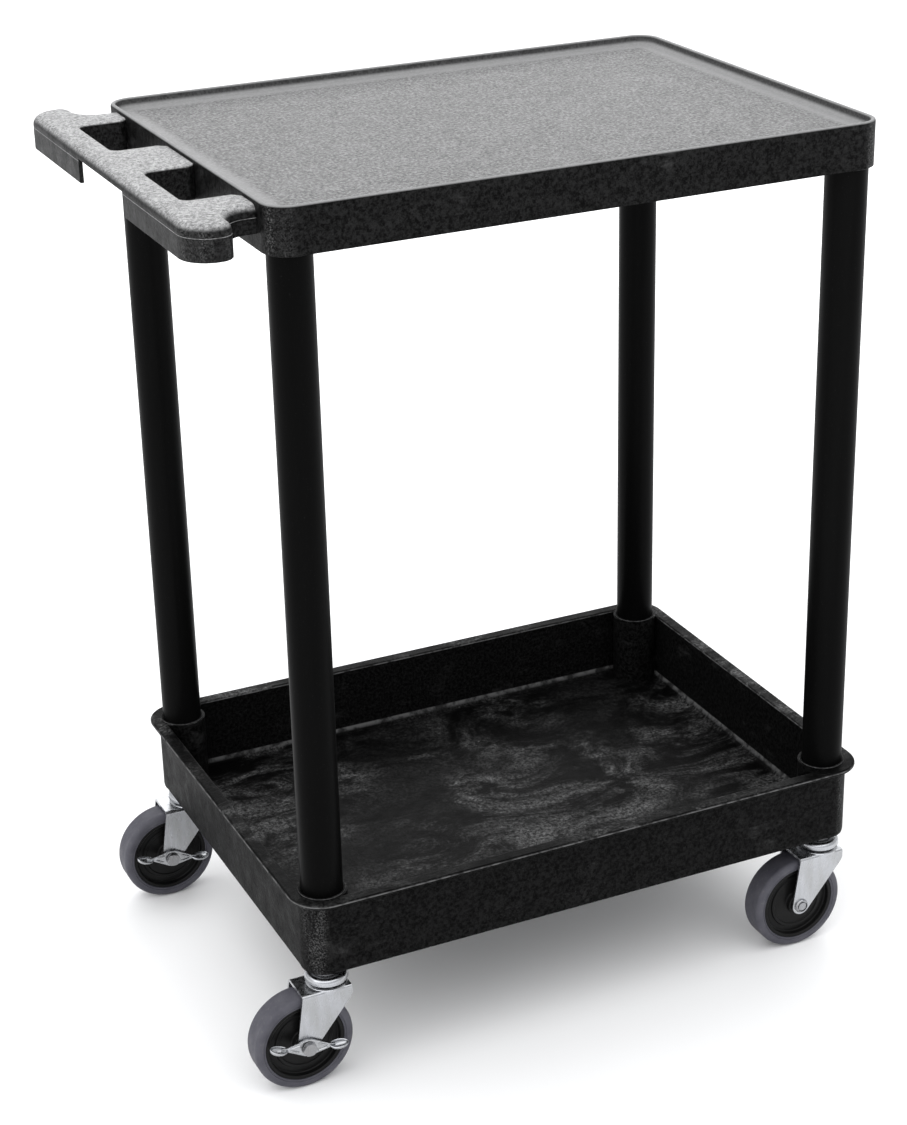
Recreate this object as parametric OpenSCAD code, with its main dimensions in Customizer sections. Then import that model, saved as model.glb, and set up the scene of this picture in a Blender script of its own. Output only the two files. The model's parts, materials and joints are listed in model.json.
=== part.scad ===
// Two-shelf rolling utility cart: flat top shelf, deep tub below, four tube legs,
// a push handle on one short side and four swivel casters, two of them braked.
// +X runs along the shelves away from the handle, +Z is up, and the wheels stand on z = 0.

/* [Shelves] */
// Length of both shelves, along the push direction
shelf_w = 610; // [580:5:640]
// Depth of both shelves, across the push direction
shelf_d = 450; // [430:5:480]
// Height of the top shelf's lip above the floor
top_z = 884; // [874:5:934]
// Height of the top shelf's skirt, lip included
skirt_h = 44; // [40:1:52]
// Height of the lip above the deck
lip_h = 9; // [8:1:12]
// Thickness of the moulded walls and floors
wall = 5; // [4:0.5:6]

/* [Tub] */
// Height of the tub's rim above the floor
rim_z = 210; // [202:1:226]
// Height of the tub's underside above the floor
tub_z = 127; // [127:1:129]
// How far the rim flange stands out past the walls
flange_out = 9.5; // [6:0.5:12]
// Thickness of the rim flange
flange_t = 5; // [4:0.5:6]

/* [Legs] */
// Outside radius of a leg tube
leg_r = 20.5; // [18:0.5:21]
// Wall thickness of a leg tube
leg_t = 2.5; // [2:0.5:3]

/* [Push handle] */
// Reach of the handle past the shelf
handle_reach = 76.5; // [72:0.5:85]
// Width of the handle over its two rounded ends
handle_d = 470; // [470:2:486]
// Depth of the handle's outer skirt
handle_h = 32; // [30:1:36]
// How far the handle's top lies below the lip
handle_drop = 4; // [3:0.5:6]
// Depth of the two hand slots, outwards from the shelf
slot_reach = 50; // [46:1:52]
// Half the gap between the two arms
slot_y = 150; // [140:1:152]
// Half width of the middle tongue
tongue_y = 43; // [36:1:46]

/* [Casters] */
// Radius of the wheels
wheel_r = 51; // [49:0.5:51.5]
// Width of the tyres
tyre_w = 28; // [26:1:29]
// Radius where the tyre meets the hub
hub_r = 41; // [38:0.5:42]
// How far the axle trails behind the swivel
trail = 30; // [27:1:31]
// Outside width of the fork
fork_w = 38; // [38:0.5:40]
// Thickness of the fork's sheet steel
sheet = 2.5; // [2:0.5:2.5]

/* [Brake levers] */
// Half length of the rocker, from the axle to a pedal's tip
rocker = 41; // [38:1:43]
// How far the free rocker leans back from level
lever_lean = 10; // [6:1:12]

/* [Hidden] */
$fn = 72;
SIDES = [-1, 1];

// Legs, sockets and corner rounding share one centre.
corner_r = 25;
leg_x = shelf_w / 2 - corner_r;
leg_y = shelf_d / 2 - corner_r;
socket_gap = 0.1;
boss_r = corner_r - 0.5;
deck_z = top_z - lip_h;
skirt_z = top_z - skirt_h;
leg_foot_z = tub_z + wall;
leg_top_z = deck_z - wall;
lip_r = 2.5;
lip_fillet = 6;
floor_fillet = 8;
foot_edge_r = 4;
rib_t = 4;
rib_h = 8;

// How far joined shapes overlap, and how far a cut runs past the face it starts from.
over = 1;

// The handle's plan, with u outwards from the shelf's side.
arm_y = 193;
bulge_u = 33;
end_r = 28;
arm_h = 25;
finger_y = 65;
finger_top = 9;
grip_wall_h = 10;
end_wall = 12;
plate_t = 5;
skin = 4;
handle_top = top_z - handle_drop;
screw_z = handle_top - 18;
screw_ys = [-165, -22, 22, 165];
screw_r = 2.1;
screw_gap = 0.1;
screw_head_r = 4.5;
screw_head_h = 2.5;

// Heights in a caster, from the fork's plate up to the tub.
axle_z = wheel_r;
plate_top = wheel_r + 56;
plate_bottom = plate_top - sheet;
race_top = plate_top + 3;
race_r = 16.2;
ball_r = 2.2;
ball_ring_r = 14;
ball_count = 14;
ball_gap = 0.3;
cup_under = race_top + 2 * (ball_r + ball_gap);
cup_t = 4;
cup_top = cup_under + cup_t;
cup_r = 21.5;
cup_edge_r = 3;
cup_wall = 2;
cup_overlap = 1.2;
stem_r = 5.5;
stem_top = 166;
stem_clear = 0.1;
socket_len = 42;
washer_r = 14;
washer_t = 2.5;
hex_r = 9;
kingpin_head_r = 9;
run_gap = 0.05;
fork_nose_r = 17;
fork_nose_x = 4;
fork_rear = 32;
plate_setback = 2;
plate_rear = fork_rear - plate_setback;
fork_shoulder = [19, plate_top - 12];
fork_end_r = 10;
edge_r = fork_end_r - 0.1;
bolt_r = 4;
bolt_head_r = 7.5;
bolt_head_h = 4;
nut_r = 7.5;
nut_h = 6.5;
bolt_tail = 8;
sleeve_r = 6.4;
cam_r = 9;
cam_t = 1;
lever_t = 3;
lever_gap = 0.3;
lever_y = fork_w / 2 + cam_t + lever_gap;

// The wheel's own sections.
boss_wall_r = 12;
web_t = 18;
web_ring_r = 24;
web_ring_t = 3;
web_ring_w = 21;
rim_t = 4;
side_gap = 1;
tyre_edge_r = 5;

// The rocker's outline, from its waist round the axle to its two pedals.
waist = [12, 8];
pedal_start = 30;
pedal_t = 4;
pedal_in = 4;
pedal_out = 8;
eye_r = 10;

LEFT = [["front_left", -1, -1], ["back_left", -1, 1]];
RIGHT = [["front_right", 1, -1], ["back_right", 1, 1]];
CORNERS = concat(LEFT, RIGHT);
CORNER_PARTS = ["leg", "stem_socket", "stem", "swivel_cup", "swivel_balls", "fork",
                "axle_bolt", "axle_nut", "axle_sleeve", "hub", "tyre"];

// The handle reaches further from the middle of the shelves than the rim does,
// and the origin is under the middle of the whole.
origin_x = (handle_reach - flange_out) / 2;

function polar(c, r, a) = c + r * [cos(a), sin(a)];
// The point where a line from p touches the circle (c, r), on the side given by turn.
function tangent(p, c, r, turn) =
    let (d = p - c)
    polar(c, r, atan2(d[1], d[0]) + turn * acos(r / norm(d)));

// Children (a profile with x outwards and y up) swept round a rectangle with round corners.
module ring_sweep(w, d, r) {
    for (k = [0 : 3]) rotate(90 * k) {
        across = k % 2 == 0 ? w : d;
        along = k % 2 == 0 ? d : w;
        translate([r - across / 2, along / 2, 0]) rotate([90, 0, 90])
            linear_extrude(across - 2 * r) children();
        translate([across / 2 - r, along / 2 - r, 0])
            rotate_extrude(angle = 90) translate([r, 0]) children();
    }
}

module rounded_plate(w, d, r, h) {
    linear_extrude(h) {
        square([w - 2 * r, d], center = true);
        square([w, d - 2 * r], center = true);
        for (x = SIDES, y = SIDES) translate([x * (w / 2 - r), y * (d / 2 - r)]) circle(r);
    }
}

module at_corner(c) translate([c[1] * leg_x, c[2] * leg_y, 0]) children();
module at_legs() for (c = CORNERS) at_corner(c) children();

// --- Moulded pieces -------------------------------------------------------------------

module skirt_profile() {
    difference() {
        union() {
            translate([-wall, skirt_z]) square([wall, skirt_h - lip_r]);
            translate([-wall - lip_fillet, deck_z - wall])
                square([wall + lip_fillet, wall + lip_h - lip_r]);
            translate([-lip_r, top_z - lip_r]) circle(lip_r);
        }
        translate([-wall - lip_fillet, deck_z + lip_fillet]) circle(lip_fillet);
        translate([-2 * wall - lip_fillet, deck_z + lip_fillet])
            square([wall + lip_fillet, lip_h]);
    }
}

module top_shelf() color([0.16, 0.16, 0.16]) {
    difference() {
        union() {
            ring_sweep(shelf_w, shelf_d, corner_r) skirt_profile();
            translate([0, 0, leg_top_z])
                rounded_plate(shelf_w - 2 * wall, shelf_d - 2 * wall, corner_r - wall, wall);
            for (y = SIDES) translate([0, y * shelf_d / 6, leg_top_z - rib_h / 2])
                cube([shelf_w - wall, rib_t, rib_h + over], center = true);
            for (x = [-1 : 1]) translate([x * shelf_w / 4, 0, leg_top_z - rib_h / 2])
                cube([rib_t, shelf_d - wall, rib_h + over], center = true);
            at_legs() translate([0, 0, skirt_z]) cylinder(h = leg_top_z - skirt_z + over, r = boss_r);
        }
        at_legs() translate([0, 0, skirt_z - over])
            cylinder(h = leg_top_z - skirt_z + over, r = leg_r + socket_gap);
        for (y = screw_ys) translate([-shelf_w / 2 - over, y, screw_z]) rotate([0, 90, 0])
            cylinder(h = wall + 2 * over, r = screw_r + 2 * screw_gap);
    }
}

module tub_profile() {
    round_r = flange_t / 2;
    difference() {
        union() {
            translate([-wall, tub_z + foot_edge_r]) square([wall, rim_z - tub_z - foot_edge_r - round_r]);
            translate([-wall - floor_fillet, tub_z])
                square([wall + floor_fillet - foot_edge_r, wall + floor_fillet]);
            translate([-foot_edge_r, tub_z + foot_edge_r]) circle(foot_edge_r);
            translate([round_r - wall, rim_z - flange_t])
                square([wall + flange_out - flange_t, flange_t]);
            for (x = [round_r - wall, flange_out - round_r])
                translate([x, rim_z - round_r]) circle(round_r);
        }
        translate([-wall - floor_fillet, tub_z + wall + floor_fillet]) circle(floor_fillet);
    }
}

module bottom_tub() color([0.13, 0.13, 0.13]) {
    difference() {
        union() {
            ring_sweep(shelf_w, shelf_d, corner_r) tub_profile();
            translate([0, 0, tub_z])
                rounded_plate(shelf_w - 4 * wall, shelf_d - 4 * wall, corner_r - 2 * wall, wall);
            at_legs() translate([0, 0, tub_z + over]) cylinder(h = rim_z - tub_z - over, r = boss_r);
        }
        at_legs() {
            translate([0, 0, leg_foot_z]) cylinder(h = rim_z, r = leg_r + socket_gap);
            translate([0, 0, tub_z - over]) cylinder(h = wall + 2 * over, r = stem_r + socket_gap);
        }
    }
}

module leg() color([0.08, 0.08, 0.08]) translate([0, 0, leg_foot_z]) difference() {
    cylinder(h = leg_top_z - leg_foot_z, r = leg_r);
    translate([0, 0, -over]) cylinder(h = leg_top_z - leg_foot_z + 2 * over, r = leg_r - leg_t);
}

// Half of the handle's plan, pulled in by "inset" on every edge but the shelf's.
module handle_half(inset) {
    out = handle_reach - inset;
    end_y = handle_d / 2 - inset;
    round_u = handle_reach - end_r;
    round_y = handle_d / 2 - end_r;
    translate([slot_reach + inset, 0]) square([out - slot_reach - inset, round_y]);
    translate([round_u, round_y]) circle(end_r - inset);
    translate([bulge_u + inset, slot_y + inset]) square([round_u - bulge_u - inset, end_y - slot_y - inset]);
    translate([round_u - over, slot_y + inset]) square([out - round_u + over, round_y - slot_y - inset]);
    translate([0, slot_y + inset]) square([slot_reach, arm_y - slot_y - 2 * inset]);
    square([slot_reach + 2 * inset, tongue_y - inset]);
}

module handle_plan(inset) for (s = SIDES) scale([1, s]) handle_half(inset);

// The handle in its own frame: x is u, and z = 0 is its top face.
module handle_body() {
    difference() {
        translate([0, 0, -handle_h]) linear_extrude(handle_h) handle_plan(0);
        difference() {
            translate([0, 0, -handle_h - over]) linear_extrude(handle_h + over - plate_t) handle_plan(skin);
            translate([-over, -handle_d / 2, -handle_h - 2 * over])
                cube([end_wall + over, handle_d, handle_h + 2 * over]);
        }
        translate([-over, -handle_d / 2 - over, -handle_h - over])
            cube([bulge_u + over, handle_d + 2 * over, handle_h + over - arm_h]);
        translate([slot_reach - over, -slot_y, -handle_h - over])
            cube([skin + 2 * over, 2 * slot_y, handle_h + over - grip_wall_h]);
        translate([slot_reach + skin, -finger_y, -handle_h - over])
            cube([handle_reach, 2 * finger_y, handle_h + over - finger_top]);
        for (y = screw_ys) translate([-over, y, screw_z - handle_top]) rotate([0, 90, 0])
            cylinder(h = end_wall + 2 * over, r = screw_r + screw_gap);
    }
}

module push_handle() color([0.18, 0.18, 0.18])
    translate([-shelf_w / 2, 0, handle_top]) mirror([1, 0, 0]) handle_body();

module handle_screws() color("silver")
    for (y = screw_ys) translate([wall - shelf_w / 2, y, screw_z]) rotate([0, -90, 0]) {
        translate([0, 0, -screw_head_h]) cylinder(h = screw_head_h, r = screw_head_r);
        translate([0, 0, -over / 2]) cylinder(h = wall + end_wall, r = screw_r);
    }

// --- Casters: x = 0 is the swivel axis, and the wheel trails towards -x ----------------

module stem_socket() color([0.3, 0.3, 0.3]) translate([0, 0, leg_foot_z]) difference() {
    cylinder(h = socket_len, r = leg_r - leg_t - 2 * stem_clear);
    translate([0, 0, -over]) cylinder(h = stem_top - leg_foot_z + 3 * over, r = stem_r + stem_clear);
}

module stem() color("silver") {
    head_top = plate_bottom - ball_gap;
    translate([0, 0, head_top - over]) cylinder(h = stem_top - head_top + over, r = stem_r);
    translate([0, 0, head_top - sheet]) cylinder(h = sheet, r = kingpin_head_r);
    translate([0, 0, cup_top]) cylinder(h = washer_t, r = washer_r);
    translate([0, 0, cup_top + washer_t / 2])
        cylinder(h = tub_z - cup_top - washer_t / 2, r = hex_r, $fn = 6);
}

module swivel_cup() color("gainsboro") rotate_extrude() {
    body_r = cup_r - cup_edge_r;
    lip_z = race_top + cup_overlap;
    translate([stem_r, cup_under]) square([body_r - stem_r, cup_t]);
    intersection() {
        translate([body_r, cup_top - cup_edge_r]) circle(cup_edge_r);
        translate([body_r, cup_under]) square([cup_edge_r, cup_t]);
    }
    translate([cup_r - cup_wall, lip_z]) square([cup_wall, cup_under - lip_z + cup_wall / 2]);
}

module swivel_balls() color("white") for (k = [0 : ball_count - 1]) rotate(k * 360 / ball_count)
    translate([ball_ring_r, 0, race_top + ball_gap + ball_r]) sphere(ball_r);

// The straight edges run just inside the round end, so that they cross its circle cleanly.
module fork_side() {
    axle = [-trail, axle_z];
    rear = [-fork_rear, plate_top];
    polygon([rear, [fork_shoulder[0], plate_top], fork_shoulder,
             tangent(fork_shoulder, axle, edge_r, -1), axle, tangent(rear, axle, edge_r, 1)]);
    translate(axle) circle(fork_end_r);
}

module fork() color("gainsboro") difference() {
    union() {
        for (s = SIDES) translate([0, s * (fork_w - sheet) / 2 + sheet / 2, 0])
            rotate([90, 0, 0]) linear_extrude(sheet) fork_side();
        translate([0, 0, plate_bottom]) linear_extrude(sheet) {
            translate([fork_nose_x, 0]) circle(fork_nose_r);
            translate([-plate_rear, -fork_w / 2]) square([plate_rear + fork_shoulder[0], fork_w]);
        }
        translate([0, 0, plate_top - over]) cylinder(h = race_top - plate_top + over, r = race_r);
    }
    translate([0, 0, plate_bottom - over]) cylinder(h = 2 * sheet + 3 * over, r = stem_r + run_gap);
    translate([-trail, fork_w, axle_z]) rotate([90, 0, 0])
        cylinder(h = 2 * fork_w, r = bolt_r + run_gap);
}

// Bolt through the fork with its head on the -y side, which stands off by "off" for a lever.
module axle_bolt(off) color("silver") translate([-trail, 0, axle_z]) rotate([90, 0, 0]) {
    translate([0, 0, -fork_w / 2 - bolt_tail]) cylinder(h = fork_w + bolt_tail + off, r = bolt_r);
    translate([0, 0, fork_w / 2 + off]) cylinder(h = bolt_head_h, r = bolt_head_r);
}

module axle_nut() color("silver") translate([-trail, fork_w / 2, axle_z]) rotate([-90, 0, 0])
    difference() {
        cylinder(h = nut_h, r = nut_r, $fn = 6);
        translate([0, 0, -over]) cylinder(h = nut_h + 2 * over, r = bolt_r + run_gap);
    }

module axle_sleeve() color("silver") translate([-trail, 0, axle_z]) rotate([90, 0, 0]) difference() {
    cylinder(h = fork_w - 2 * (sheet + run_gap), r = sleeve_r, center = true);
    cylinder(h = fork_w, r = bolt_r + run_gap, center = true);
}

module wheel_turn() translate([-trail, 0, axle_z]) rotate([90, 0, 0]) rotate_extrude() children();

// A band of the wheel's section from radius r0 to r1, w wide about its middle.
module band(r0, r1, w) translate([r0, -w / 2]) square([r1 - r0, w]);

module hub() color([0.1, 0.1, 0.1]) wheel_turn() {
    bore = sleeve_r + run_gap;
    band(bore, boss_wall_r, fork_w - 2 * (sheet + side_gap));
    band(bore, hub_r, web_t);
    band(web_ring_r, web_ring_r + web_ring_t, web_ring_w);
    band(hub_r - rim_t, hub_r, tyre_w - 2 * side_gap);
}

module tyre() color([0.5, 0.49, 0.52]) wheel_turn() {
    band(hub_r, wheel_r - tyre_edge_r, tyre_w);
    band(hub_r, wheel_r, tyre_w - 2 * tyre_edge_r);
    for (s = SIDES) translate([wheel_r - tyre_edge_r, s * (tyre_w / 2 - tyre_edge_r)])
        circle(tyre_edge_r);
}

// The cam and its lever, leaning back by lever_lean. Their z = 0 is the lever's inner face.
module at_lever() translate([-trail, -lever_y, axle_z]) rotate([90, 0, 0]) rotate(-lever_lean)
    difference() {
        children();
        translate([0, 0, -2 * cam_t]) cylinder(h = lever_t + 4 * cam_t, r = bolt_r + run_gap);
    }

module brake_cam() color("silver") at_lever() translate([0, 0, -cam_t]) cylinder(h = cam_t, r = cam_r);

module brake_lever() color("gainsboro") at_lever() {
    tip = [rocker - pedal_t, pedal_t / 2];
    linear_extrude(lever_t) {
        polygon([-tip, [-waist[0], -waist[1]], [waist[0], -waist[1]], [tip[0], -tip[1]],
                 tip, waist, [-waist[0], waist[1]], [-tip[0], tip[1]]]);
        circle(eye_r);
    }
    for (s = SIDES) scale([s, 1, 1]) translate([pedal_start, -pedal_t / 2, -pedal_in])
        cube([rocker - pedal_start, pedal_t, pedal_in + pedal_out]);
}

translate([origin_x, 0, 0]) {
    top_shelf();
    push_handle();
    handle_screws();
    bottom_tub();
    for (c = CORNERS) at_corner(c) {
        bolt_off = c[1] < 0 ? lever_y + lever_t + lever_gap - fork_w / 2 : 0;
        leg();
        stem_socket();
        stem();
        swivel_cup();
        swivel_balls();
        fork();
        axle_bolt(bolt_off);
        axle_nut();
        axle_sleeve();
        hub();
        tyre();
    }
    for (c = LEFT) at_corner(c) {
        brake_cam();
        brake_lever();
    }
}
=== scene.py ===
"""The looks of the rolling utility cart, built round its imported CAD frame. Metres, +Z up."""

import json
import math

import bmesh
import bpy
from mathutils import Matrix, Vector


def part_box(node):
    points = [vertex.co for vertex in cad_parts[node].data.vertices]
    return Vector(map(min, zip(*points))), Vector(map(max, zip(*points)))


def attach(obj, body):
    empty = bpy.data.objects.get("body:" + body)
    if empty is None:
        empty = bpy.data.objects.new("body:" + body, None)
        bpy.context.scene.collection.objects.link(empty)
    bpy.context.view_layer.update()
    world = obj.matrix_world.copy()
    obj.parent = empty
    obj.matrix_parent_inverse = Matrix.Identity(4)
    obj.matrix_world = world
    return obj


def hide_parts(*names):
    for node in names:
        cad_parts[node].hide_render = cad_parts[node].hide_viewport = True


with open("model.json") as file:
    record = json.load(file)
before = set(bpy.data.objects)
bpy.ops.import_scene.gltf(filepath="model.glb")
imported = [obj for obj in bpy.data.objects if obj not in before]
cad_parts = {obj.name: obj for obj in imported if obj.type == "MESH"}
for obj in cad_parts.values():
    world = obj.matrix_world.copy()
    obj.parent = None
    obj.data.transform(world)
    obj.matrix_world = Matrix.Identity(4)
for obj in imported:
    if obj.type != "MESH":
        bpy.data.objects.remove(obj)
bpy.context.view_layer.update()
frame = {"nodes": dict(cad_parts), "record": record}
scene = bpy.context.scene

MM = 0.001
SIDES = (-1, 1)
CORNERS = ("front_left", "back_left", "front_right", "back_right")
BRAKED = ("front_left", "back_left")

# --- Places, all taken from the frame ---------------------------------------------------

shelf_lo, shelf_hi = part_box("top_shelf")
tub_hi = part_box("bottom_tub")[1]
handle_lo, handle_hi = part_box("push_handle")
shelf_mid_x = (shelf_lo.x + shelf_hi.x) / 2
SHELF_W = shelf_hi.x - shelf_lo.x
SHELF_D = shelf_hi.y - shelf_lo.y
CORNER_R = 25 * MM
LIP_H = 9 * MM
DECK_Z = shelf_hi.z - LIP_H
STRAIGHT_X = SHELF_W / 2 - CORNER_R  # where the straight sides end and the corners begin
STRAIGHT_Y = SHELF_D / 2 - CORNER_R
LIP_FACE_START = 2 * MM  # the lip's inner face, from its crest inwards
LIP_FACE_FULL = 3.5 * MM
HIGHLIGHT_BAND_START = 26 * MM  # the painted highlight band round the deck, from the shelf's outline
HIGHLIGHT_BAND_FULL = 14 * MM
HIGHLIGHT_BAND_WOBBLE = 8 * MM
HIGHLIGHT_BAND_STRENGTH = 0.75


def middle(node):
    low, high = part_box(node)
    return (low + high) / 2


def radius(node):
    low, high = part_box(node)
    return (high.x - low.x) / 2


LEG_R = radius("leg_front_left")
leg_centres = [middle(f"leg_{c}") for c in CORNERS]

# --- Camera, set to the photograph's viewing angle --------------------------------------

CAMERA_AT = Vector((-0.9640, -2.0940, 1.4391))
CAMERA_TARGET = Vector((-0.0295, -0.0445, 0.4428))
CAMERA_ROLL = math.radians(-1.40)
CAMERA_LENS = 78.85

back = (CAMERA_AT - CAMERA_TARGET).normalized()
level = Vector((0, 0, 1)).cross(back).normalized()
upright = back.cross(level)
right = level * math.cos(CAMERA_ROLL) + upright * math.sin(CAMERA_ROLL)
up = upright * math.cos(CAMERA_ROLL) - level * math.sin(CAMERA_ROLL)
camera = bpy.data.objects.new("camera", bpy.data.cameras.new("camera"))
camera.matrix_world = Matrix.Translation(CAMERA_AT) @ Matrix((right, up, back)).transposed().to_4x4()
camera.data.lens = CAMERA_LENS
camera.data.sensor_width = 36
camera.data.sensor_fit = "AUTO"
camera.data.clip_end = 60
scene.collection.objects.link(camera)
scene.camera = camera

# --- Materials --------------------------------------------------------------------------


class Nodes:
    """A small helper that adds shader nodes and links by name."""

    def __init__(self, name):
        self.material = bpy.data.materials.new(name)
        self.material.use_nodes = True
        self.tree = self.material.node_tree
        self.shader = self.tree.nodes["Principled BSDF"]
        self.place = self.tree.nodes.new("ShaderNodeTexCoord").outputs["Object"]

    def add(self, kind, inputs=None, **settings):
        node = self.tree.nodes.new("ShaderNode" + kind)
        for key, value in settings.items():
            setattr(node, key, value)
        for key, value in (inputs or {}).items():
            if isinstance(value, bpy.types.NodeSocket):
                self.tree.links.new(value, node.inputs[key])
            else:
                node.inputs[key].default_value = value
        return node

    def noise(self, scale, detail=4.0, rough=0.55, stretch=(1, 1, 1), at=(0, 0, 0), distort=0.0):
        mapping = self.add("Mapping", {"Vector": self.place, "Scale": stretch, "Location": at})
        inputs = {"Vector": mapping.outputs[0], "Scale": scale, "Detail": detail,
                  "Roughness": rough, "Distortion": distort}
        return self.add("TexNoise", inputs).outputs["Fac"]

    def ramp(self, value, low, high, to_low=0.0, to_high=1.0):
        node = self.add("MapRange", {0: value, 1: low, 2: high, 3: to_low, 4: to_high})
        node.interpolation_type = "SMOOTHSTEP"
        return node.outputs[0]

    def maths(self, operation, a, b):
        return self.add("Math", {0: a, 1: b}, operation=operation).outputs[0]

    def times(self, a, b):
        return self.maths("MULTIPLY", a, b)

    def absolute(self, value):
        return self.add("Math", {0: value}, operation="ABSOLUTE").outputs[0]

    def mix(self, factor, a, b):
        node = self.add("Mix", data_type="RGBA")
        for index, value in ((0, factor), (6, a), (7, b)):
            if isinstance(value, bpy.types.NodeSocket):
                self.tree.links.new(value, node.inputs[index])
            else:
                node.inputs[index].default_value = value
        return node.outputs[2]

    def bump(self, height, strength, distance, normal=None):
        inputs = {"Height": height, "Strength": strength, "Distance": distance}
        if normal is not None:
            inputs["Normal"] = normal
        return self.add("Bump", inputs).outputs[0]

    def toned(self, colour, tone):
        """A colour times one number."""
        same = self.add("CombineXYZ", {0: tone, 1: tone, 2: tone}).outputs[0]
        return self.add("VectorMath", {0: colour, 1: same}, operation="MULTIPLY").outputs[0]

    def facing(self):
        """The parts of the surface's own normal. Its z is 1 on top faces and 0 on upright walls."""
        normal = self.add("NewGeometry").outputs["Normal"]
        return self.add("SeparateXYZ", {0: normal}).outputs

    def facing_up(self, low, high):
        """1 where the surface points up, 0 on upright walls."""
        return self.ramp(self.facing()[2], low, high)

    def on_corners(self):
        """1 on upright round corners, 0 on the flat walls between them."""
        axes = self.facing()
        across = self.absolute(self.times(axes[0], axes[1]))
        off_x, off_y, _ = self.off_middle()
        outside_x = self.ramp(off_x, STRAIGHT_X - MM, STRAIGHT_X)
        outside_y = self.ramp(off_y, STRAIGHT_Y - MM, STRAIGHT_Y)
        return self.times(self.times(outside_x, outside_y), self.ramp(across, 0.08, 0.42))

    def off_middle(self):
        """How far a point is from the shelves' middle along X and along Y, and its height."""
        spots = self.add("SeparateXYZ", {0: self.place}).outputs
        shift = self.maths("SUBTRACT", spots[0], shelf_mid_x)
        return self.absolute(shift), self.absolute(spots[1]), spots[2]

    def facing_between(self, low, high):
        """1 on rounded edges whose normal's z lies between low and high."""
        z = self.facing()[2]
        return self.times(self.ramp(z, low, low + 0.12), self.ramp(z, high, high + 0.15, 1, 0))

    def near_deck_edge(self):
        """Two masks: the last few centimetres of the deck, where a highlight band is painted, and the inner
        face of its lip, where a sheen is painted.

        Both come from gap, the distance past the shelf's rounded outline, negative inside it.
        """
        off_x, off_y, height = self.off_middle()
        past_x = self.maths("SUBTRACT", off_x, STRAIGHT_X)
        past_y = self.maths("SUBTRACT", off_y, STRAIGHT_Y)
        out_x = self.maths("MAXIMUM", past_x, 0.0)
        out_y = self.maths("MAXIMUM", past_y, 0.0)
        squares = self.maths("ADD", self.times(out_x, out_x), self.times(out_y, out_y))
        within = self.maths("MINIMUM", self.maths("MAXIMUM", past_x, past_y), 0.0)
        reach = self.maths("ADD", self.maths("POWER", squares, 0.5), within)
        gap = self.maths("SUBTRACT", reach, CORNER_R)
        wobble = self.times(self.noise(30, detail=4), HIGHLIGHT_BAND_WOBBLE)
        near = self.ramp(self.maths("ADD", gap, wobble), -HIGHLIGHT_BAND_START, -HIGHLIGHT_BAND_FULL)
        above = self.ramp(height, DECK_Z, DECK_Z + 2 * MM)
        inside = self.times(above, self.ramp(gap, -LIP_FACE_FULL, -LIP_FACE_START, 1, 0))
        return self.times(near, HIGHLIGHT_BAND_STRENGTH), inside

    def finish(self, colour, rough, normal, specular=None, metallic=None):
        for key, value in (("Base Color", colour), ("Roughness", rough), ("Normal", normal)):
            if isinstance(value, bpy.types.NodeSocket):
                self.tree.links.new(value, self.shader.inputs[key])
            elif value is not None:
                self.shader.inputs[key].default_value = value
        if specular is not None:
            self.shader.inputs["Specular IOR Level"].default_value = specular
        if metallic is not None:
            self.shader.inputs["Metallic"].default_value = metallic
        return self.material


def grey(v, tint=(1, 1, 1)):
    return (v * tint[0], v * tint[1], v * tint[2], 1)


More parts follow.
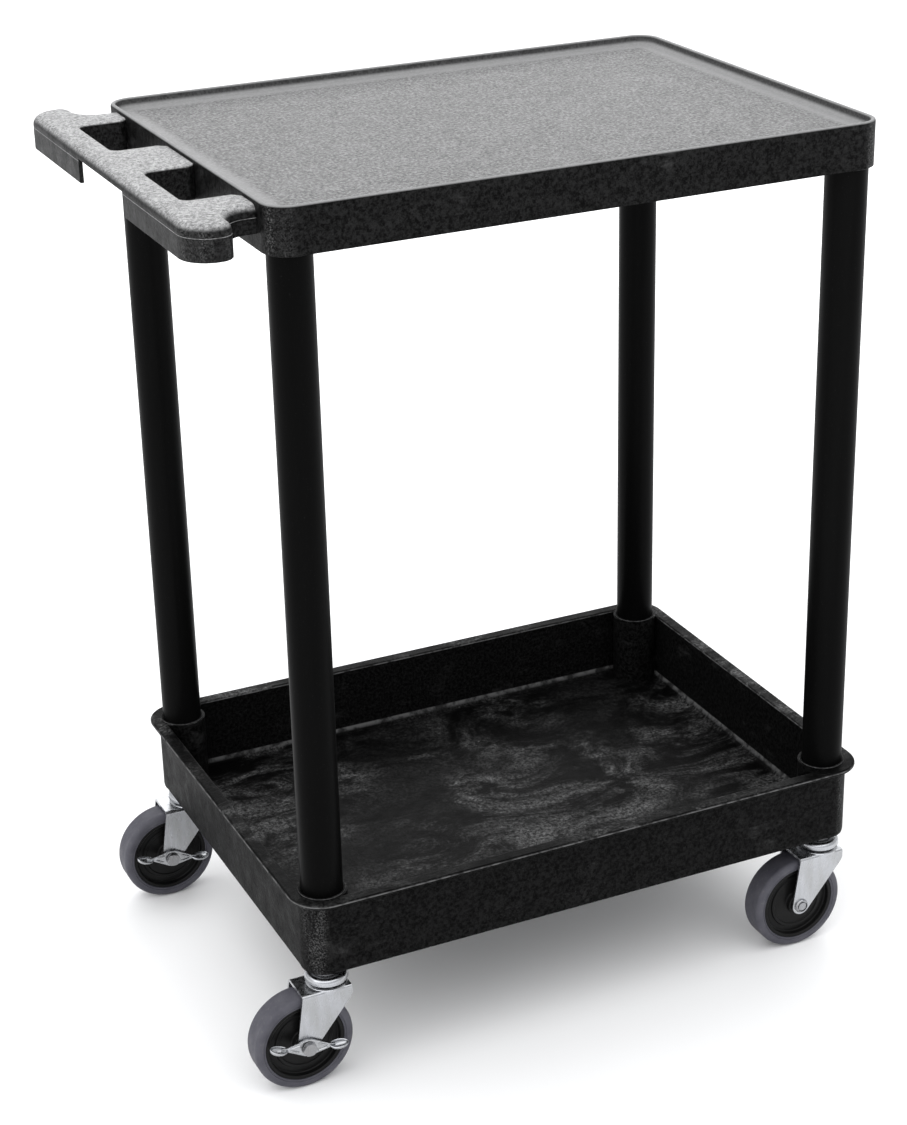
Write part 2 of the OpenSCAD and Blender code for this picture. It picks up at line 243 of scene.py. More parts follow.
def moulded(name, dark, pale, specular, rough, top_sheen_dark=0.0, top_sheen_pale=0.0, swirl=0.0,
            deck_edge_highlight=0.0, corner_glint=0.0, edge_highlight=0.0):
    """Black structural-foam plastic: a fine pebble and pale smears, with painted light: a paler top painted
    in as the overhead light's sheen, painted highlights on round corners, round the deck's edge and on
    rounded edges, and a painted sheen on the lip's inner face.
    """
    n = Nodes(name)
    smear = n.ramp(n.noise(13, detail=9, rough=0.68, distort=1.4), 0.5, 0.78)
    streak = n.ramp(n.noise(45, detail=7, rough=0.7, stretch=(0.5, 0.5, 1.4), distort=0.9), 0.46, 0.7)
    fleck = n.ramp(n.noise(520, detail=3, rough=0.7), 0.52, 0.74, 0, 0.45)
    wear = n.maths("MAXIMUM", n.times(smear, streak), n.times(fleck, streak))
    pebble = n.ramp(n.noise(300, detail=4, rough=0.8), 0.38, 0.62)
    colour = n.mix(wear, n.mix(pebble, grey(dark * 0.1), grey(dark * 3.2)), grey(pale))
    # Painted highlight: a pale line, broken in patches, on the rounded edges of the rim and floor.
    if edge_highlight:
        patchy = n.ramp(n.noise(90, detail=4), 0.35, 0.6, 0.2, 1)
        edge_highlight_tone = n.mix(patchy, grey(dark), grey(edge_highlight))
        colour = n.mix(n.facing_between(0.08, 0.62), colour, edge_highlight_tone)
    # Painted highlights: pale glints on the round upright corners, where the lamps catch the pebble.
    if corner_glint:
        spots = n.ramp(n.noise(620, detail=4, rough=0.75), 0.46, 0.66)
        run = n.ramp(n.noise(60, detail=4, stretch=(1, 1, 0.25)), 0.4, 0.62, 0.25, 1)
        glints = n.times(n.times(spots, run), n.on_corners())
        colour = n.mix(glints, colour, grey(corner_glint))
    # Painted sheen: up-facing faces are painted paler, as the overhead light makes the black plastic look
    # grey; mottled, and feathered by swirls on the tub.
    if top_sheen_pale:
        mottle = n.ramp(n.noise(360, detail=5, rough=0.6), 0.3, 0.7)
        if swirl:
            feather = n.noise(9, detail=12, rough=0.76, stretch=(1, 1.7, 1), distort=swirl)
            cloud = n.ramp(n.noise(5.2, detail=3, at=(0.3, 0.1, 0), distort=0.5), 0.43, 0.6, 0.12, 1)
            mottle = n.times(n.ramp(feather, 0.42, 0.62), n.times(cloud, mottle))
        top = n.mix(mottle, grey(top_sheen_dark), grey(top_sheen_pale))
        grain_tone = n.ramp(n.noise(330, detail=4, rough=0.85), 0.36, 0.64, 0.5, 1.5)
        top = n.toned(top, grain_tone)
        # Painted highlight: a pale band round the deck's edge, where it rises to the lip.
        if deck_edge_highlight:
            near, inside = n.near_deck_edge()
            top = n.mix(near, top, grey(deck_edge_highlight))
            # Painted sheen: the lip's inner face is painted a lighter grey than the black walls.
            lip_grain = n.ramp(n.noise(420, detail=5, rough=0.7), 0.3, 0.7)
            lip_sheen_tone = n.mix(lip_grain, grey(0.035), grey(0.1))
            colour = n.mix(inside, colour, lip_sheen_tone)
        # Lays the painted top sheen over the up-facing faces.
        colour = n.mix(n.facing_up(0.3, 0.85), colour, top)
    grain = n.noise(750, detail=3, rough=0.6)
    orange = n.noise(130, detail=2)
    normal = n.bump(grain, 0.5, 0.0006, n.bump(orange, 0.35, 0.0012))
    roughness = n.ramp(n.noise(60, detail=5), 0.2, 0.8, rough - 0.07, rough + 0.09)
    return n.finish(colour, roughness, normal, specular=specular)


def metal(name, tint, pale, rough, spangle=0.5):
    """Zinc plate: bright, faintly blue in places, with a fine rolled grain and small dents."""
    n = Nodes(name)
    patch = n.ramp(n.noise(55, detail=3, stretch=(1, 1, 0.3), distort=0.4), 0.3, 0.7)
    colour = n.mix(patch, grey(pale * 0.84, tint), grey(pale, (0.97, 0.99, 1.04)))
    haze = n.noise(260, detail=4, stretch=(1, 1, 0.25))
    roughness = n.ramp(haze, 0.25, 0.75, rough - 0.06, rough + 0.1)
    dents = n.noise(90, detail=2)
    grain = n.noise(1500, detail=2, stretch=(1, 1, 0.1))
    normal = n.bump(grain, 0.08, 0.0002, n.bump(dents, 0.05 * spangle, 0.0015))
    return n.finish(colour, roughness, normal, metallic=1.0)


def rubber(name):
    """Grey non-marking rubber, faintly purple, with mould haze and floor dust on the tread."""
    n = Nodes(name)
    haze = n.ramp(n.noise(45, detail=6, distort=0.3), 0.3, 0.7)
    colour = n.mix(haze, (0.05, 0.049, 0.063, 1), (0.074, 0.073, 0.088, 1))
    dust = n.ramp(n.noise(380, detail=4), 0.56, 0.75, 0, 0.35)
    colour = n.mix(dust, colour, (0.13, 0.125, 0.12, 1))
    normal = n.bump(n.noise(900, detail=3), 0.22, 0.0004)
    roughness = n.ramp(n.noise(120, detail=4), 0.25, 0.75, 0.5, 0.68)
    return n.finish(colour, roughness, normal, specular=0.35)


def smooth_black(name, dark, specular, rough, stretch=(1, 1, 1)):
    """Smooth black plastic with a faint drawn grain and fine pale specks."""
    n = Nodes(name)
    patch = n.ramp(n.noise(25, detail=5, stretch=stretch), 0.4, 0.75)
    colour = n.mix(patch, grey(dark), grey(dark * 1.9))
    speck = n.ramp(n.noise(900, detail=1), 0.7, 0.82, 0, 0.3)
    colour = n.mix(speck, colour, grey(0.05))
    normal = n.bump(n.noise(600, detail=3, stretch=stretch), 0.12, 0.0004)
    roughness = n.ramp(n.noise(80, detail=4, stretch=stretch), 0.25, 0.75, rough - 0.05, rough + 0.07)
    return n.finish(colour, roughness, normal, specular=specular)


# Black plastics. The top colours paint the overhead light's sheen on up-facing faces, the corner colour
# paints glints on round corners, the edge band paints a highlight round the deck and the edge line paints a
# highlight on the tub's rounded edges.
SHELF = moulded("shelf_plastic", 0.0045, 0.06, 0.042, 0.42, top_sheen_dark=0.11, top_sheen_pale=0.21,
                deck_edge_highlight=0.28, corner_glint=0.11)
TUB = moulded("tub_plastic", 0.003, 0.05, 0.03, 0.45, top_sheen_dark=0.002, top_sheen_pale=0.13, swirl=0.9,
              corner_glint=0.09, edge_highlight=0.12)
HANDLE = moulded("handle_plastic", 0.006, 0.07, 0.08, 0.45, top_sheen_dark=0.22, top_sheen_pale=0.35, corner_glint=0.12)
LEG = smooth_black("leg_plastic", 0.0017, 0.03, 0.38, stretch=(1, 1, 0.05))
HUB = smooth_black("hub_plastic", 0.005, 0.12, 0.35)
INNER = smooth_black("inner_plastic", 0.16, 0.4, 0.5)
ZINC = metal("zinc_plate", (0.97, 0.985, 1.0), 0.48, 0.27)
STEEL = metal("bright_steel", (0.96, 0.96, 0.98), 0.36, 0.24)
BALL = metal("bearing_steel", (1, 1, 1), 0.6, 0.12, spangle=0.1)
RUBBER = rubber("tyre_rubber")

SLOT_MATERIALS = {
    "shelf_plastic": SHELF, "tub_plastic": TUB, "handle_plastic": HANDLE, "leg_plastic": LEG,
    "inner_plastic": INNER, "zinc_plate": ZINC, "bright_steel": STEEL, "bearing_steel": BALL,
    "hub_plastic": HUB, "tyre_rubber": RUBBER,
}
for part in frame["record"]["subparts"]:
    mesh = frame["nodes"][part["node"]].data
    mesh.materials.clear()
    mesh.materials.append(SLOT_MATERIALS[part["material_slot"]])

# --- Mesh helpers -----------------------------------------------------------------------


def arc(centre, r, start, end, steps):
    """Points round a centre, angles in degrees."""
    turns = [math.radians(start + (end - start) * k / steps) for k in range(steps + 1)]
    return [(centre[0] + r * math.cos(t), centre[1] + r * math.sin(t)) for t in turns]


def circle(r, steps):
    return arc((0, 0), r, 0, 360, steps)[:-1]


def rounded_loop(corners, inset=0.0, steps=6):
    """An anticlockwise outline with a radius at each corner, pulled in by inset.

    Each corner is (x, y, radius). Every inset gives the same number of points.
    """
    count = len(corners)
    places = [Vector(c[:2]) for c in corners]
    loop = []
    for i, (x, y, r) in enumerate(corners):
        before = (places[i] - places[i - 1]).normalized()
        after = (places[(i + 1) % count] - places[i]).normalized()
        turn = before.x * after.y - before.y * after.x
        side = 1 if turn > 0 else -1
        left_before = Vector((-before.y, before.x))
        left_after = Vector((-after.y, after.x))
        bend = left_before + left_after
        corner = places[i] + bend * (inset / (1 + left_before.dot(left_after)))
        r = max(r - side * inset, 0.0002)
        centre = corner + (left_before + left_after) * (side * r / (1 + left_before.dot(left_after)))
        start = math.atan2(-side * left_before.y, -side * left_before.x)
        sweep = math.atan2(turn, before.dot(after))
        for k in range(steps + 1):
            t = start + sweep * k / steps
            loop.append((centre.x + r * math.cos(t), centre.y + r * math.sin(t)))
    return loop


def skin(bm, rings, closed=False, cap=True):
    """Quads between rings of equal length, and a face at each end."""
    rows = [[bm.verts.new(p) for p in ring] for ring in rings]
    pairs = list(zip(rows, rows[1:]))
    if closed:
        pairs.append((rows[-1], rows[0]))
    for low, high in pairs:
        for i in range(len(low)):
            j = (i + 1) % len(low)
            bm.faces.new((low[i], low[j], high[j], high[i]))
    if cap and not closed:
        bm.faces.new(reversed(rows[0]))
        bm.faces.new(rows[-1])
    return bm


def lathe(profile, steps=96):
    """A closed profile of (radius, height) turned about Z. Heights stay as z."""
    rings = []
    for k in range(steps):
        t = math.tau * k / steps
        rings.append([(r * math.cos(t), r * math.sin(t), h) for r, h in profile])
    bm = bmesh.new()
    skin(bm, rings, closed=True)
    bmesh.ops.remove_doubles(bm, verts=bm.verts, dist=1e-6)
    bmesh.ops.dissolve_degenerate(bm, dist=1e-7, edges=bm.edges)
    return bm


def prism(outline, low, high):
    return skin(bmesh.new(), [[(x, y, z) for x, y in outline] for z in (low, high)])


def block(low, high):
    outline = [(low[0], low[1]), (high[0], low[1]), (high[0], high[1]), (low[0], high[1])]
    return prism(outline, low[2], high[2])


def to_mesh(bm, name):
    bmesh.ops.recalc_face_normals(bm, faces=bm.faces)
    mesh = bpy.data.meshes.new(name)
    bm.to_mesh(mesh)
    bm.free()
    return mesh


def placed(bm, matrix):
    bm.transform(matrix)
    return bm


def cut(base, tools):
    """Exact booleans in order. Each tool is (operation, bmesh)."""
    body = bpy.data.objects.new("cutting", to_mesh(base, "cutting"))
    scene.collection.objects.link(body)
    for operation, tool_bm in tools:
        tool = bpy.data.objects.new("tool", to_mesh(tool_bm, "tool"))
        scene.collection.objects.link(tool)
        modifier = body.modifiers.new("cut", "BOOLEAN")
        modifier.operation = operation
        modifier.object = tool
        modifier.solver = "EXACT"
        bpy.context.view_layer.update()
        depsgraph = bpy.context.evaluated_depsgraph_get()
        result = bpy.data.meshes.new_from_object(body.evaluated_get(depsgraph))
        body.modifiers.clear()
        body.data = result
        bpy.data.objects.remove(tool)
    mesh = body.data
    bpy.data.objects.remove(body)
    return mesh


def piece(name, mesh, material, body, replaces=(), at=(0, 0, 0), angle=35, bevel=0.0):
    """Puts a mesh in the scene as a visible piece that rides on a CAD body."""
    mesh.materials.clear()
    mesh.materials.append(material)
    mesh.polygons.foreach_set("use_smooth", [True] * len(mesh.polygons))
    mesh.set_sharp_from_angle(angle=math.radians(angle))
    mesh.update()
    obj = bpy.data.objects.new(name, mesh)
    obj.location = at
    scene.collection.objects.link(obj)
    if bevel:
        edges = obj.modifiers.new("edges", "BEVEL")
        edges.width = bevel
        edges.segments = 2
        edges.limit_method = "ANGLE"
        edges.angle_limit = math.radians(40)
        edges.use_clamp_overlap = True
        shading = obj.modifiers.new("shading", "WEIGHTED_NORMAL")
        shading.keep_sharp = True
    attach(obj, body)
    if replaces:
        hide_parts(*replaces)
    return obj


# --- Push handle ------------------------------------------------------------------------

HANDLE_REACH = handle_hi.x - handle_lo.x
HANDLE_HALF = handle_hi.y
HANDLE_H = handle_hi.z - handle_lo.z
TOP_ROUND = 9 * MM
SEAM_GAP = 0.3 * MM
SLOT_REACH = 50 * MM
SLOT_Y = 150 * MM
TONGUE_Y = 43 * MM
ARM_Y = 193 * MM
BULGE_U = 33 * MM
ARM_H = 25 * MM
SKIN = 4 * MM
PLATE_T = 5 * MM
END_WALL = 8 * MM
NECK_R = 22 * MM
BULGE_R = 14 * MM
GRIP_R = 28 * MM
GRIP_WALL = 10 * MM  # how far the grip's inner wall reaches below its top
CUTOUT_HALF = 65 * MM
CUTOUT_TOP = 9 * MM


def both_sides(half):
    """Corners (u, y, radius) of one half, mirrored about y = 0 into an anticlockwise outline."""
    return list(reversed(half + [(u, -y, r) for u, y, r in reversed(half)]))


HANDLE_OUTLINE = both_sides([
    (-12 * MM, ARM_Y, MM), (BULGE_U, ARM_Y, NECK_R), (BULGE_U, HANDLE_HALF, BULGE_R),
    (HANDLE_REACH, HANDLE_HALF, GRIP_R),
])
CAVITY_OUTLINE = both_sides([
    (END_WALL, TONGUE_Y, MM), (SLOT_REACH, TONGUE_Y, 8 * MM), (SLOT_REACH, SLOT_Y, 8 * MM),
    (END_WALL, SLOT_Y, MM), (END_WALL, ARM_Y, MM), (BULGE_U, ARM_Y, NECK_R),
    (BULGE_U, HANDLE_HALF, BULGE_R), (HANDLE_REACH, HANDLE_HALF, GRIP_R),
])
TIP_CUT = 6 * MM


def slot_cutter(side):
    """A hand slot, open to the shelf, flared at the top to round the edge that the fingers meet."""
    flare = 2.5 * MM
    low, high = TONGUE_Y, SLOT_Y
    outline = [(-TIP_CUT, low - TIP_CUT, MM), (0, low - TIP_CUT, MM), (TIP_CUT, low, 6 * MM),
               (SLOT_REACH, low, 9 * MM), (SLOT_REACH, high, 9 * MM), (TIP_CUT, high, 6 * MM),
               (0, high + TIP_CUT, MM), (-TIP_CUT, high + TIP_CUT, MM)]
    levels = [(0, -HANDLE_H - MM), (0, -flare)]
    for k in range(1, 6):
        t = math.pi / 2 * k / 5
        levels.append((-flare * (1 - math.cos(t)), -flare + flare * math.sin(t)))
    levels.append((-flare, MM))
    return skin(bmesh.new(), [[(u, side * y, z) for u, y in rounded_loop(outline, i)] for i, z in levels])


def handle_mesh():
    """The whole moulding, u measured from the shelf and z from its top, then turned into the frame."""
    seam = TOP_ROUND + 2 * MM
    beyond = 300 * MM  # past either end of the handle
    levels = [(0.6 * MM, -HANDLE_H), (0, 0.6 * MM - HANDLE_H), (0, -seam - 0.4 * MM),
              (0.4 * MM, -seam), (0.1 * MM, 0.4 * MM - seam)]
    for k in range(9):
        t = math.pi / 2 * k / 8
        levels.append((0.1 * MM + (TOP_ROUND - 0.1 * MM) * (1 - math.cos(t)),
                       -TOP_ROUND + TOP_ROUND * math.sin(t)))
    rings = [[(u, y, z) for u, y in rounded_loop(HANDLE_OUTLINE, inset, 10)] for inset, z in levels]
    low = -HANDLE_H - MM
    end_y = SLOT_Y + 10 * MM
    cavity_shift = (TOP_ROUND - PLATE_T) * 0.35
    cavity = prism(rounded_loop(CAVITY_OUTLINE, SKIN, 4), low, -PLATE_T - cavity_shift)
    tools = [
        ("DIFFERENCE", block((-20 * MM, -beyond, low), (SEAM_GAP, beyond, MM))),
        ("DIFFERENCE", slot_cutter(1)),
        ("DIFFERENCE", slot_cutter(-1)),
        ("DIFFERENCE", cavity),
        ("DIFFERENCE", block((-MM, end_y, low), (BULGE_U, beyond, -ARM_H))),
        ("DIFFERENCE", block((-MM, -beyond, low), (BULGE_U, -end_y, -ARM_H))),
        ("DIFFERENCE", block((SLOT_REACH - MM, MM - SLOT_Y, low),
                             (SLOT_REACH + SKIN + MM, SLOT_Y - MM, -GRIP_WALL))),
        ("DIFFERENCE", block((SLOT_REACH + SKIN, -CUTOUT_HALF, low),
                             (HANDLE_REACH + MM, CUTOUT_HALF, -CUTOUT_TOP))),
    ]
    mesh = cut(skin(bmesh.new(), rings), tools)
    to_row = Matrix.Translation((handle_hi.x, 0, handle_hi.z)) @ Matrix.Diagonal((-1, 1, 1, 1))
    mesh.transform(to_row)
    mesh.flip_normals()
    return mesh


piece("handle_moulding", handle_mesh(), HANDLE, "cart", ["push_handle"], angle=38)

# --- Casters ----------------------------------------------------------------------------

TRAIL = 30 * MM
AXLE_Z = middle("tyre_front_left").z
WHEEL_R = radius("tyre_front_left")
HUB_R = radius("hub_front_left")
tyre_lo, tyre_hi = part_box("tyre_front_left")
TYRE_W = tyre_hi.y - tyre_lo.y
FORK_W = 38 * MM
SHEET = 2.5 * MM
FORK_REAR = -32 * MM
FORK_FRONT = 19 * MM
FORK_END_R = 10 * MM
AXLE_BORE = 4.05 * MM
PIN_BORE = 5.55 * MM
BORE_STEPS = 36
PIN_STEPS = 48
STAND = Matrix.Rotation(math.radians(90), 4, "X")  # stands a mesh up: its y becomes z
RACE_H = 3 * MM  # how far the race stands above the fork's plate
PLATE_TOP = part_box("fork_front_left")[1].z - RACE_H
CUP_R = radius("swivel_cup_front_left")
cup_lo, cup_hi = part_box("swivel_cup_front_left")


def upright_lathe(profile, steps=96):
    """A profile of (radius, y) turned about Y instead of Z."""
    return placed(lathe(profile, steps), Matrix.Rotation(math.radians(-90), 4, "X"))


def tyre_mesh():
    half = TYRE_W / 2
    edge = 5 * MM
    side = arc((WHEEL_R - edge, half - edge), edge, 90, 0, 8)
    across = [1 - 2 * k / 8 for k in range(1, 8)]
    crown = [(WHEEL_R - 0.3 * MM * a ** 2, (half - edge) * a) for a in across]
    other = [(r, -y) for r, y in reversed(side)]
    step = [(HUB_R + 2.6 * MM, half - 0.1 * MM), (HUB_R + 2.2 * MM, half - 0.7 * MM),
            (HUB_R + 1.6 * MM, half - 0.7 * MM), (HUB_R + 1.2 * MM, half - 0.2 * MM)]
    lip = [(HUB_R + 0.6 * MM, half - 0.1 * MM), (HUB_R, half - 0.7 * MM)]
    inner = lip[::-1] + step[::-1]
    profile = inner + side + crown + other + [(r, -y) for r, y in reversed(inner)]
    return upright_lathe(profile, 128)


def hub_mesh():
    """Rim, dished web with a raised ring, and the boss round the axle sleeve."""
    half = [
        (6.45, 15.4), (11.2, 15.4), (12.0, 14.6), (12.4, 9.8), (13.4, 9.0), (25.6, 8.2), (26.2, 8.6),
        (26.6, 9.4), (29.4, 9.4), (29.9, 8.6), (30.4, 8.0), (35.6, 7.6), (36.6, 8.4), (37.2, 12.4),
        (37.8, 13.0), (40.4, 13.0), (41.0, 12.4),
    ]
    points = [(r * MM, h * MM) for r, h in half]
    return upright_lathe(points + [(r, -h) for r, h in reversed(points)], 128)


def cup_mesh():
    """The pressed upper cup: a domed cap with a rolled skirt that shades the balls."""
    low, high = cup_lo.z, cup_hi.z
    edge = 4.6 * MM
    top = arc((CUP_R - edge, high - edge), edge, 90, 0, 8)
    outside = [(13 * MM, high), (13.8 * MM, high - 0.4 * MM), (15.0 * MM, high - 0.4 * MM),
               (15.8 * MM, high)] + top
    lip = arc((CUP_R - 0.9 * MM, low + 0.9 * MM), 0.9 * MM, 0, -180, 6)
    inside = [(CUP_R - 1.8 * MM, high - 4.6 * MM), (CUP_R - 3.4 * MM, high - 2.6 * MM)]
    return lathe([(5.6 * MM, high - 2.2 * MM), (5.6 * MM, high)] + outside + lip + inside)


def fork_mesh():
    """Sheet steel bent to a U, cut to outline, with the lower race pressed up from its plate."""
    half, fold, foot = FORK_W / 2, 3.6 * MM, -20 * MM
    outer = [(-half, foot)] + arc((fold - half, PLATE_TOP - fold), fold, 180, 90, 6)
    outer += [(-x, z) for x, z in reversed(outer)]
    inner = [(-half + SHEET, foot)]
    inner += arc((fold - half, PLATE_TOP - fold), fold - SHEET, 180, 90, 6)
    inner += [(-x, z) for x, z in reversed(inner)]
    section = outer + inner[::-1]
    channel = skin(bmesh.new(), [[(x, y, z) for y, z in section] for x in (-45 * MM, 30 * MM)])
    axle = Vector((-TRAIL, AXLE_Z))
    shoulder = Vector((FORK_FRONT, PLATE_TOP - 12 * MM))
    rear = Vector((FORK_REAR, PLATE_TOP + MM))

    def tangent_angle(point, turn):
        d = point - axle
        return math.degrees(math.atan2(d.y, d.x)) + turn * math.degrees(math.acos(FORK_END_R / d.length))

    round_end = arc(axle, FORK_END_R, tangent_angle(rear, 1), tangent_angle(shoulder, -1) + 360, 20)
    front = arc((shoulder.x - 9 * MM, shoulder.y + 4 * MM), 9 * MM, -38, 0, 6)
    side = round_end + front + [(FORK_FRONT, rear.y), (rear.x, rear.y)]
    wide = 30 * MM  # half the width of the cutters, past both sides of the fork
    side_cut = placed(prism(side, -wide, wide), STAND)
    plan = [(-45 * MM, -wide), (FORK_FRONT, -wide)] + arc((0, 0), 21 * MM, -25, 25, 12)
    plan += [(FORK_FRONT, wide), (-45 * MM, wide)]
    race = [(5.55, -2.2), (5.55, 2.2), (10.0, 2.2), (11.0, 3.0), (15.6, 3.0), (17.2, 2.5), (19.2, 1.0),
            (20.3, 0.5), (20.8, -0.2), (20.8, -2.2)]
    ring = placed(lathe([(r * MM, h * MM) for r, h in race]), Matrix.Translation((0, 0, PLATE_TOP)))
    pin_hole = prism(circle(PIN_BORE, PIN_STEPS), 90 * MM, 140 * MM)
    axle_hole = placed(prism(circle(AXLE_BORE, BORE_STEPS), -wide, wide),
                       Matrix.Translation((-TRAIL, 0, AXLE_Z)) @ STAND)
    return cut(channel, [("INTERSECT", side_cut), ("INTERSECT", prism(plan, 0, 0.2)),
                         ("UNION", ring), ("DIFFERENCE", pin_hole), ("DIFFERENCE", axle_hole)])


LEVER_LEAN = math.radians(10)
LEVER_Y = FORK_W / 2 + 1.3 * MM
ROCKER = 41 * MM
LEVER_STAND_OFF = 4.6 * MM  # how far the braked casters' bolt heads stand off the fork
BOLT_R = 4 * MM
HEXAGON_R = 7.4 * MM
WASHER_T = 0.8 * MM


def pedal_bowl(side):
    """A dished foot pad: half an egg, open at the top, leaning outwards from the lever."""
    wide, deep, tall, thick = 9.8 * MM, 6.0 * MM, 5.4 * MM, 1.1 * MM
    outside = arc((0, 0), 1, -90, 0, 10)
    rings = []
    for k in range(40):
        t = math.tau * k / 40
        ring = [(wide * c * math.cos(t), deep * c * math.sin(t), tall * s) for c, s in outside]
        ring.append(((wide - thick / 2) * math.cos(t), (deep - thick / 2) * math.sin(t), 0.4 * MM))
        ring += [((wide - thick) * c * math.cos(t), (deep - thick) * c * math.sin(t), (tall - thick) * s)
                 for c, s in reversed(outside)]
        rings.append(ring)
    bm = bmesh.new()
    skin(bm, rings, closed=True, cap=False)
    bmesh.ops.remove_doubles(bm, verts=bm.verts, dist=1e-6)
    boundary = [e for e in bm.edges if e.is_boundary]
    if boundary:
        bmesh.ops.holes_fill(bm, edges=boundary)
    lean = Matrix.Rotation(math.radians(12), 4, "X") @ Matrix.Rotation(math.radians(-8 * side), 4, "Y")
    return placed(bm, Matrix.Translation((side * (ROCKER - wide + 0.2 * MM), -2.6 * MM, 1.6 * MM)) @ lean)


def lever_mesh():
    """The rocker: a diamond round the axle, a narrow strip each way and a pedal at each end."""
    half = [(28, -2, 1.5), (28, 2, 1.5), (23, 1.9, 10), (3, 9, 4), (-3, 9, 4), (-23, 1.9, 10)]
    outline = half + [(-x, -y, r) for x, y, r in half]
    corners = [(x * MM, y * MM, r * MM) for x, y, r in outline]
    levels = [(0.4, 0), (0, 0.4), (0, 1.6), (0.2, 2.0), (0.6, 2.2)]
    rings = [[(x, y, z * MM) for x, y in rounded_loop(corners, i * MM, 4)] for i, z in levels]
    rib = [(x * 5 * MM, y * 0.9 * MM, 0.8 * MM) for x, y in ((-1, -1), (1, -1), (1, 1), (-1, 1))]
    rib_levels = [(0, 1.0), (0, 2.8), (0.5, 3.4)]
    rib_rings = [[(x, y, z * MM) for x, y in rounded_loop(rib, i * MM, 4)] for i, z in rib_levels]
    tools = []
    for side in SIDES:
        tools.append(("UNION", pedal_bowl(side)))
        for row in SIDES:
            lay = Matrix.Translation((side * 14.5 * MM, row * 2.4 * MM, 0))
            lay = lay @ Matrix.Rotation(-side * row * math.radians(16), 4, "Z")
            tools.append(("UNION", placed(placed(skin(bmesh.new(), rib_rings), lay), STAND)))
    tools.append(("DIFFERENCE", placed(prism(circle(AXLE_BORE, BORE_STEPS), -MM, 6 * MM), STAND)))
    return cut(placed(skin(bmesh.new(), rings), STAND), tools)


def bolt_mesh(stand_off, hexagon):
    """The axle bolt, head towards -Y: a flat round head with a turned groove, or a washer face."""
    half = FORK_W / 2
    face = -half - stand_off
    if hexagon:
        head = [(0, face - 3 * MM), (BOLT_R, face - 3 * MM), (BOLT_R, face - WASHER_T),
                (HEXAGON_R, face - WASHER_T), (HEXAGON_R, face)]
    else:
        steps = [(0, 2.4), (4.4, 2.6), (4.7, 1.1), (5.6, 1.1), (5.9, 2.7), (6.9, 2.3), (7.5, 1.4), (7.5, 0)]
        head = [(r * MM, face - h * MM) for r, h in steps]
    end = half + 8 * MM
    shaft = [(BOLT_R, face), (BOLT_R, end - 0.8 * MM), (3.2 * MM, end), (0, end)]
    return upright_lathe(head + shaft, 48)


def hex_cap_mesh(stand_off):
    """The bolt's hexagon, with its corners turned off by a cone."""
    face = FORK_W / 2 + stand_off + WASHER_T
    top = face + 3.2 * MM
    nut = prism(circle(HEXAGON_R, 6), face - 0.4 * MM, top)
    cone = lathe([(0, face - MM), (9 * MM, face - MM), (9 * MM, face + 1.6 * MM), (6.3 * MM, top),
                  (0, top)], 48)
    return cut(placed(nut, STAND), [("INTERSECT", placed(cone, STAND))])


shared = {
    "tyre": to_mesh(tyre_mesh(), "tyre"),
    "hub": to_mesh(hub_mesh(), "hub"),
    "cup": to_mesh(cup_mesh(), "cup"),
    "fork": fork_mesh(),
    "lever": lever_mesh(),
    "bolt_plain": to_mesh(bolt_mesh(0, False), "bolt_plain"),
    "bolt_lever": to_mesh(bolt_mesh(LEVER_STAND_OFF, True), "bolt_lever"),
    "hex_cap": hex_cap_mesh(LEVER_STAND_OFF),
}


def bead_mesh(name, z, down):
    """A thin rounded lip round a leg, at the skirt's lower edge or on the tub's rim."""
    section = [(LEG_R + 1.3 * MM + r, h) for r, h in circle(1.1 * MM, 14)]
    return to_mesh(lathe([(r, z + h - down * 0.3 * MM) for r, h in section], 72), name)


shared["skirt_bead"] = bead_mesh("skirt_bead", shelf_lo.z, 1)
shared["rim_bead"] = bead_mesh("rim_bead", tub_hi.z, -1)

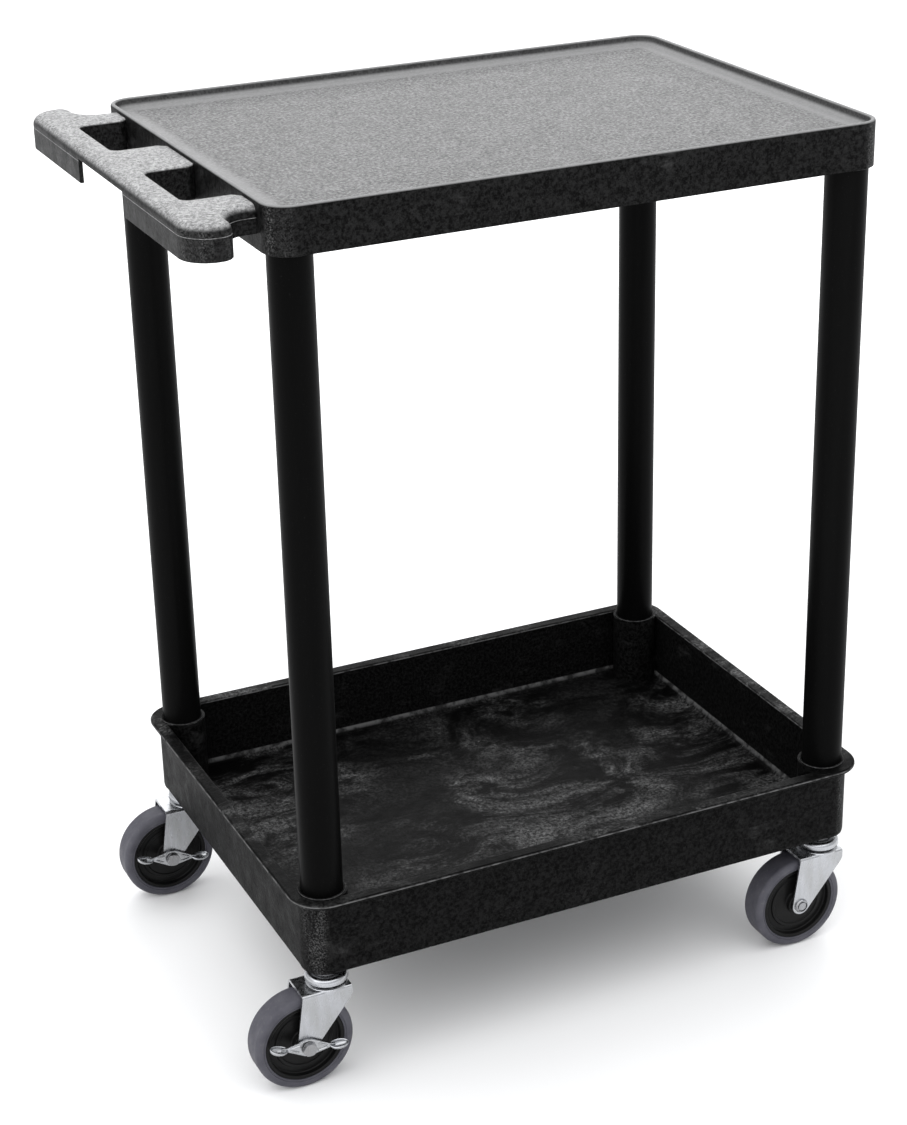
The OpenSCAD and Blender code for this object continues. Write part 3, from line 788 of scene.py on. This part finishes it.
for corner, leg_centre in zip(CORNERS, leg_centres):
    x, y = leg_centre.x, leg_centre.y
    piece(f"skirt_bead_{corner}", shared["skirt_bead"], HANDLE, "cart", (), (x, y, 0))
    piece(f"rim_bead_{corner}", shared["rim_bead"], TUB, "cart", (), (x, y, 0))
    wheel_at = (x - TRAIL, y, AXLE_Z)
    piece(f"tyre_moulding_{corner}", shared["tyre"], RUBBER, f"wheel_{corner}",
          [f"tyre_{corner}"], wheel_at)
    piece(f"hub_moulding_{corner}", shared["hub"], HUB, f"wheel_{corner}",
          [f"hub_{corner}"], wheel_at, angle=30)
    piece(f"race_cup_{corner}", shared["cup"], ZINC, "cart", [f"swivel_cup_{corner}"],
          (x, y, 0), angle=40)
    piece(f"fork_pressing_{corner}", shared["fork"], ZINC, f"caster_{corner}",
          [f"fork_{corner}"], (x, y, 0), angle=30, bevel=0.45 * MM)
    bolt = "bolt_lever" if corner in BRAKED else "bolt_plain"
    piece(f"axle_bolt_turned_{corner}", shared[bolt], STEEL, f"caster_{corner}",
          [f"axle_bolt_{corner}"], wheel_at, angle=30)
    if corner in BRAKED:
        piece(f"axle_bolt_hexagon_{corner}", shared["hex_cap"], STEEL, f"caster_{corner}",
              (), wheel_at, angle=30)
        lever = piece(f"lever_pressing_{corner}", shared["lever"], ZINC, f"brake_{corner}",
                      [f"brake_lever_{corner}"], (x - TRAIL, y - LEVER_Y, AXLE_Z), angle=35)
        lever.rotation_euler.y = LEVER_LEAN

# --- Floor and light --------------------------------------------------------------------

FLOOR_SIZE = 30
floor_bm = bmesh.new()
bmesh.ops.create_grid(floor_bm, x_segments=1, y_segments=1, size=FLOOR_SIZE / 2)
floor = bpy.data.objects.new("floor", to_mesh(floor_bm, "floor"))
floor_nodes = Nodes("floor_white")
floor_tone = floor_nodes.mix(floor_nodes.noise(3, detail=2), grey(0.93), grey(0.96))
floor.data.materials.append(floor_nodes.finish(floor_tone, 0.9, None, specular=0.0))
scene.collection.objects.link(floor)


def area_light(name, at, towards, size, power):
    light = bpy.data.lights.new(name, "AREA")
    light.shape = "RECTANGLE"
    light.size, light.size_y = size
    light.energy = power
    obj = bpy.data.objects.new(name, light)
    obj.location = at
    obj.rotation_euler = (Vector(at) - Vector(towards)).to_track_quat("Z", "Y").to_euler()
    obj.visible_camera = False
    scene.collection.objects.link(obj)


area_light("back_box", (1.5, 3.0, 2.2), (0, 0, 0.8), (3.5, 2.2), 46)
area_light("left_box", (-3.2, -0.8, 1.6), (0, 0, 0.5), (1.6, 2.4), 10)
sun = bpy.data.objects.new("sky_box", bpy.data.lights.new("sky_box", "SUN"))
sun.data.energy = 2.2
sun.data.angle = math.radians(100)
sun.rotation_euler = (math.radians(8), math.radians(-12), 0)
scene.collection.objects.link(sun)

world = bpy.data.worlds.new("studio")
scene.world = world
world.use_nodes = True
world.node_tree.nodes["Background"].inputs[0].default_value = (0.97, 0.98, 1, 1)
world.node_tree.nodes["Background"].inputs[1].default_value = 0.82
scene.view_settings.view_transform = "Standard"

bpy.context.view_layer.update()
